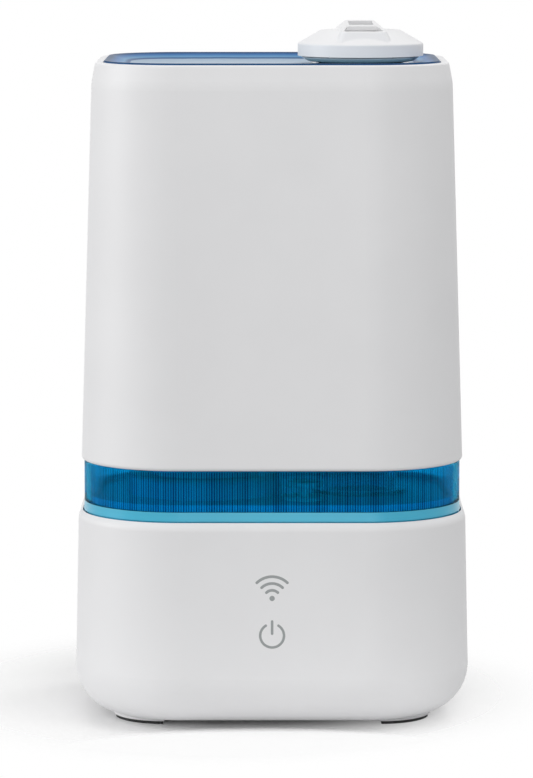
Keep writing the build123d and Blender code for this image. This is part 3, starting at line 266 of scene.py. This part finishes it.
class Look:
    """A procedural material: a Principled shader and the small graph that feeds it."""

    def __init__(self, name):
        self.material = bpy.data.materials.new(name)
        self.material.use_nodes = True
        self.tree = self.material.node_tree
        self.shader = self.tree.nodes["Principled BSDF"]
        coordinates = self.tree.nodes.new("ShaderNodeTexCoord")
        self.place = coordinates.outputs["Object"]
        self.box_place = coordinates.outputs["Generated"]

    def node(self, kind, **inputs):
        """Adds a node. An input is a value, or an output socket to link."""
        made = self.tree.nodes.new(kind)
        for name, value in inputs.items():
            socket = made.inputs[name.replace("_", " ")]
            if isinstance(value, bpy.types.NodeSocket):
                self.tree.links.new(value, socket)
            else:
                socket.default_value = value
        return made

    def feed(self, output, name):
        self.tree.links.new(output, self.shader.inputs[name])

    def set(self, **values):
        for name, value in values.items():
            self.shader.inputs[name.replace("_", " ")].default_value = value

    def noise(self, scale, detail=NOISE_DETAIL, stretch=(1, 1, 1)):
        """Noise on the object's own coordinates, stretched along an axis if asked."""
        spot = self.node("ShaderNodeMapping", Vector=self.place, Scale=stretch).outputs["Vector"]
        return self.node("ShaderNodeTexNoise", Vector=spot, Scale=scale, Detail=detail).outputs["Fac"]

    def ramp(self, fac, *stops):
        """Colour ramp over (position, colour) stops."""
        made = self.node("ShaderNodeValToRGB", Fac=fac)
        elements = made.color_ramp.elements
        while len(elements) < len(stops):
            elements.new(0.5)
        for element, (position, colour) in zip(elements, stops):
            element.position = position
            element.color = solid(colour)
        return made.outputs["Color"]

    def spread(self, fac, low, high):
        """Maps the middle of a noise to a range of values."""
        made = self.node("ShaderNodeMapRange", Value=fac, From_Min=NOISE_LOW, From_Max=NOISE_HIGH,
                         To_Min=low, To_Max=high)
        return made.outputs["Result"]

    def bump(self, height, strength, distance):
        made = self.node("ShaderNodeBump", Height=height, Strength=strength, Distance=distance)
        self.feed(made.outputs["Normal"], "Normal")


def moulded(name, pale, deep, roughness, grain=MOULD_GRAIN, bump=MOULD_BUMP):
    """Moulded plastic, rubber or silicone: slow drift of colour under a fine moulded grain."""
    look = Look(name)
    look.feed(look.ramp(look.noise(MOULD_DRIFT), (DRIFT_LOW, deep), (DRIFT_HIGH, pale)), "Base Color")
    fine = look.noise(grain, detail=MOULD_DETAIL)
    look.feed(look.spread(fine, roughness - MOULD_GLOSS, roughness + MOULD_GLOSS), "Roughness")
    look.bump(fine, bump, MOULD_BUMP_HEIGHT)
    return look


def polished(look, drift, roughness):
    """Lets a clear plastic's roughness follow a noise."""
    look.feed(look.spread(drift, roughness * (1 - TINT_GLOSS), roughness * (1 + TINT_GLOSS)), "Roughness")


def tinted(name, pale, deep, clear, roughness, gloss, index=1.49):
    """Clear tinted plastic: the tint drifts slowly, as the wall's thickness does."""
    look = Look(name)
    drift = look.noise(TINT_DRIFT)
    look.feed(look.ramp(drift, (DRIFT_LOW, deep), (DRIFT_HIGH, pale)), "Base Color")
    look.set(Transmission_Weight=clear, IOR=index, Specular_Tint=solid(gloss))
    polished(look, drift, roughness)
    return look


def ribbed(name, pale, deep, clear, roughness, gloss, index):
    """Clear tinted plastic with painted light and shade on its ribs: a painted highlight on each crest,
    painted shade in the grooves between ribs, differing from rib to rib.
    """
    look = Look(name)
    groove = look.node("ShaderNodeAttribute")
    groove.attribute_name = RIB_SHADE_ATTRIBUTE
    streaks = look.noise(RIB_GRAIN, stretch=RIB_STRETCH)
    drift = look.spread(streaks, -RIB_DRIFT, RIB_DRIFT)
    depth = combined(look.tree, "ADD", groove.outputs["Fac"], drift)
    look.feed(look.ramp(depth, (RIB_HIGHLIGHT_AT, pale), (RIB_SHADE_AT, deep)), "Base Color")
    look.set(Transmission_Weight=clear, IOR=index, Specular_Tint=solid(gloss))
    polished(look, streaks, roughness)
    return look


def layered(name, stops, clear, roughness, index):
    """Clear tinted plastic whose colour changes up its height by the given stops. Some of these stops paint
    highlights or reflections as bands.
    """
    look = Look(name)
    up = look.node("ShaderNodeSeparateXYZ", Vector=look.box_place)
    drift = look.spread(look.noise(LAYER_GRAIN), -LAYER_DRIFT, LAYER_DRIFT)
    height = combined(look.tree, "ADD", up.outputs["Z"], drift)
    look.feed(look.ramp(height, *stops), "Base Color")
    look.set(Transmission_Weight=clear, IOR=index)
    polished(look, look.noise(TINT_DRIFT), roughness)
    return look


def metal(name, pale, deep, roughness, stretch):
    """Drawn or turned metal: streaks along one way in colour and roughness."""
    look = Look(name)
    streaks = look.noise(STREAK_GRAIN, detail=STREAK_DETAIL, stretch=stretch)
    look.feed(look.ramp(streaks, (NOISE_LOW, deep), (NOISE_HIGH, pale)), "Base Color")
    look.set(Metallic=1.0)
    look.feed(look.spread(streaks, roughness - STREAK_GLOSS, roughness + STREAK_GLOSS), "Roughness")
    look.bump(streaks, STREAK_BUMP, STREAK_BUMP_HEIGHT)
    return look


def circuit(name):
    """Green solder mask with darker gaps between the copper tracks under it."""
    look = Look(name)
    first, second = TRACK_GREENS
    tracks = look.node("ShaderNodeTexBrick", Vector=look.place, Scale=TRACK_SCALE, Color1=solid(first),
                       Color2=solid(second), Mortar=solid(GAP_GREEN), Mortar_Size=GAP_SIZE)
    look.feed(tracks.outputs["Color"], "Base Color")
    look.feed(look.spread(look.noise(MASK_GRAIN), *MASK_ROUGHNESS), "Roughness")
    return look


# Looks by material slot. A layered look's stops go up the piece as shares of its height.
LOOKS = {
    "white_shell": moulded("satin_white_shell", (0.80, 0.80, 0.81), (0.78, 0.78, 0.79), 0.50),
    "symbol_grey": moulded("printed_grey_symbol", (0.31, 0.33, 0.33), (0.28, 0.30, 0.30), 0.50),
    # The band's tint lies between these two colours. The pale one paints a highlight on each rib's crest,
    # and the deep one paints shade in the grooves.
    "tank_blue": ribbed("clear_blue_tank_painted_rib_shade", (0.010, 0.62, 0.93), (0.001, 0.03, 0.10), clear=0.9,
                        roughness=0.06, gloss=(0.03, 0.42, 0.70), index=1.08),
    # The lid's two pale low stops paint the white surroundings reflected on the dish floor. Above them the
    # tint turns deep blue, with a dark band just over the floor.
    "lid_blue": layered("clear_blue_lid_painted_reflection", (
        (0.752, (0.40, 0.52, 0.64)),
        (0.765, (0.44, 0.56, 0.68)),
        (0.778, (0.05, 0.12, 0.28)),
        (0.80, (0.05, 0.12, 0.28)),
        (0.84, (0.16, 0.37, 0.60)),
        (0.91, (0.05, 0.19, 0.48)),
        (0.985, (0.015, 0.065, 0.16)),
    ), clear=0.15, roughness=0.30, index=1.10),
    # The funnel is darker towards the bottom. Its near-white top stop paints a highlight along the rim
    # under the nozzle.
    "funnel_clear": layered("clear_blue_funnel_painted_highlight", (
        (0.85, (0.02, 0.10, 0.14)),
        (0.88, (0.30, 0.54, 0.64)),
        (0.96, (0.46, 0.66, 0.74)),
        (0.985, (0.88, 0.94, 0.96)),
    ), clear=0.25, roughness=0.06, index=1.35),
    "strip_blue": tinted("frosted_blue_strip", (0.10, 0.62, 0.86), (0.085, 0.57, 0.82), clear=0.25,
                         roughness=0.25, gloss=(0.60, 0.85, 0.95)),
    "inner_white": moulded("inner_white_plastic", (0.74, 0.74, 0.73), (0.70, 0.70, 0.69), 0.48),
    "float_foam": moulded("white_float_foam", (0.82, 0.82, 0.80), (0.72, 0.72, 0.70), 0.85,
                          grain=420.0, bump=0.4),
    "dark_rubber": moulded("dark_rubber_tread", (0.030, 0.030, 0.031), (0.020, 0.020, 0.021), 0.80,
                           grain=600.0, bump=0.2),
    "silicone": moulded("milky_silicone", (0.62, 0.64, 0.66), (0.56, 0.58, 0.60), 0.55),
    "steel": metal("plated_steel", (0.66, 0.66, 0.67), (0.50, 0.50, 0.51), 0.30, (1, 1, 6)),
    "magnet": metal("plated_magnet", (0.38, 0.38, 0.39), (0.28, 0.28, 0.29), 0.28, (1, 1, 4)),
    "black_plastic": moulded("black_plastic", (0.035, 0.035, 0.038), (0.022, 0.022, 0.024), 0.45),
    "circuit_board": circuit("circuit_board"),
    "heat_sink_metal": metal("extruded_aluminium", (0.78, 0.78, 0.79), (0.62, 0.62, 0.64), 0.34, (6, 1, 1)),
    "copper_winding": metal("enamelled_copper", (0.72, 0.36, 0.18), (0.50, 0.22, 0.10), 0.35, (1, 1, 14)),
    "transducer_plate": metal("plated_disc", (0.78, 0.66, 0.40), (0.66, 0.54, 0.30), 0.25, (3, 3, 1)),
    "clear_guide": tinted("clear_light_guide", (0.90, 0.92, 0.93), (0.86, 0.88, 0.90), clear=0.6,
                          roughness=0.2, gloss=grey(1.0)),
    "lead_sheath": moulded("lead_insulation", (0.42, 0.03, 0.03), (0.32, 0.02, 0.02), 0.42),
}

# The tube has no ribs, and its thin wall is paler than the tank's
OWN_LOOKS = {
    "mist_tube": tinted("pale_blue_tube", (0.34, 0.74, 0.92), (0.28, 0.68, 0.88), clear=0.9,
                        roughness=0.06, gloss=(0.30, 0.62, 0.80), index=1.18),
}


def dress():
    """Gives every CAD node its own look or its slot's, and puts the ribbed wall on the tank."""
    for subpart in frame["record"]["subparts"]:
        node = subpart["node"]
        look = OWN_LOOKS.get(node) or LOOKS[subpart["material_slot"]]
        shown = frame["nodes"][node].data
        shown.materials.clear()
        shown.materials.append(look.material)
    wall = ribbed_tank()
    bpy.context.collection.objects.link(wall)
    wall.data.materials.append(LOOKS["tank_blue"].material)
    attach(wall, "tank")
    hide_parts("tank_body")


def place_camera():
    data = bpy.data.cameras.new("photo_camera")
    data.sensor_width = SENSOR
    data.lens = FOCAL_PIXELS * SENSOR / max(PHOTO_WIDTH, PHOTO_HEIGHT)
    camera = bpy.data.objects.new("photo_camera", data)
    camera.location = CAMERA_PLACE
    camera.rotation_euler = (math.radians(90 - CAMERA_DIP), 0, 0)
    bpy.context.collection.objects.link(camera)
    bpy.context.scene.camera = camera


def soft_box(name, place, size, watts):
    """Square area lamp that points at the object."""
    data = bpy.data.lights.new(name, "AREA")
    data.size = size
    data.energy = watts
    lamp = bpy.data.objects.new(name, data)
    lamp.location = place
    away = lamp.location - Vector(LAMP_AIM)
    lamp.rotation_euler = away.to_track_quat("Z", "Y").to_euler()
    bpy.context.collection.objects.link(lamp)


def light_studio():
    """White surroundings for what is seen directly or mirrored, softer ones for the light itself."""
    world = bpy.data.worlds.new("studio")
    world.use_nodes = True
    bpy.context.scene.world = world
    tree = world.node_tree
    lit = tree.nodes["Background"]
    lit.inputs["Color"].default_value = solid(grey(AMBIENT))
    seen = tree.nodes.new("ShaderNodeBackground")
    seen.inputs["Color"].default_value = solid(grey(1.0))
    path = tree.nodes.new("ShaderNodeLightPath")
    direct = path.outputs["Is Camera Ray"]
    for kind in ("Is Glossy Ray", "Is Transmission Ray"):
        direct = combined(tree, "MAXIMUM", direct, path.outputs[kind])
    mixed(tree, direct, lit.outputs["Background"], seen.outputs["Background"], "World Output")
    for lamp in LAMPS:
        soft_box(*lamp)


def lay_floor():
    """Pale satin floor that fades into the white surroundings away from the object. For the camera, a patch
    in front of it paints out its contact shadow.
    """
    turns = [math.tau * step / FLOOR_STEPS for step in range(FLOOR_STEPS)]
    rim = [(FLOOR_RADIUS * math.cos(turn), FLOOR_RADIUS * math.sin(turn), 0) for turn in turns]
    mesh = bpy.data.meshes.new("floor")
    mesh.from_pydata(rim, [], [list(range(FLOOR_STEPS))])
    floor = bpy.data.objects.new("floor", mesh)
    bpy.context.collection.objects.link(floor)
    look = Look("pale_satin_floor")
    drift = look.noise(FLOOR_GRAIN)
    colour = look.ramp(drift, (NOISE_LOW, grey(FLOOR_DEEP)), (NOISE_HIGH, grey(FLOOR_PALE)))
    look.feed(colour, "Base Color")
    look.set(Roughness=FLOOR_ROUGHNESS, IOR=FLOOR_INDEX)

    def away(shift=(0, 0, 0), squeeze=(1, 1, 1)):
        spot = look.node("ShaderNodeMapping", Vector=look.place, Location=shift, Scale=squeeze)
        distance = look.node("ShaderNodeVectorMath", Vector=spot.outputs["Vector"])
        distance.operation = "LENGTH"
        return distance.outputs["Value"]

    def faded(distance, near, far, most):
        fade = look.node("ShaderNodeMapRange", Value=distance, From_Min=near, From_Max=far, To_Max=most)
        fade.interpolation_type = "SMOOTHSTEP"
        return fade.outputs["Result"]

    around = faded(away(SEEN_SHIFT, SEEN_SQUEEZE), FLOOR_FADE, FLOOR_RADIUS, 1.0)
    # Painted light: in this patch the camera sees through the floor to white, which paints over the contact
    # shadow in front of the object.
    patch = away((0, PATCH_AWAY / PATCH_Y, 0), (1 / PATCH_X, 1 / PATCH_Y, 1))
    seen = combined(look.tree, "MAXIMUM", around, faded(patch, *PATCH_FADE))
    thrown = faded(away(), FLOOR_FADE, FLOOR_RADIUS, 1.0)
    direct = look.node("ShaderNodeLightPath").outputs["Is Camera Ray"]
    share = look.node("ShaderNodeMix", Factor=direct, A=thrown, B=seen).outputs["Result"]
    clear = look.node("ShaderNodeBsdfTransparent")
    mixed(look.tree, share, look.shader.outputs["BSDF"], clear.outputs["BSDF"], "Material Output")
    mesh.materials.append(look.material)


dress()
place_camera()
light_studio()
lay_floor()
bpy.context.scene.view_settings.view_transform = "Standard"
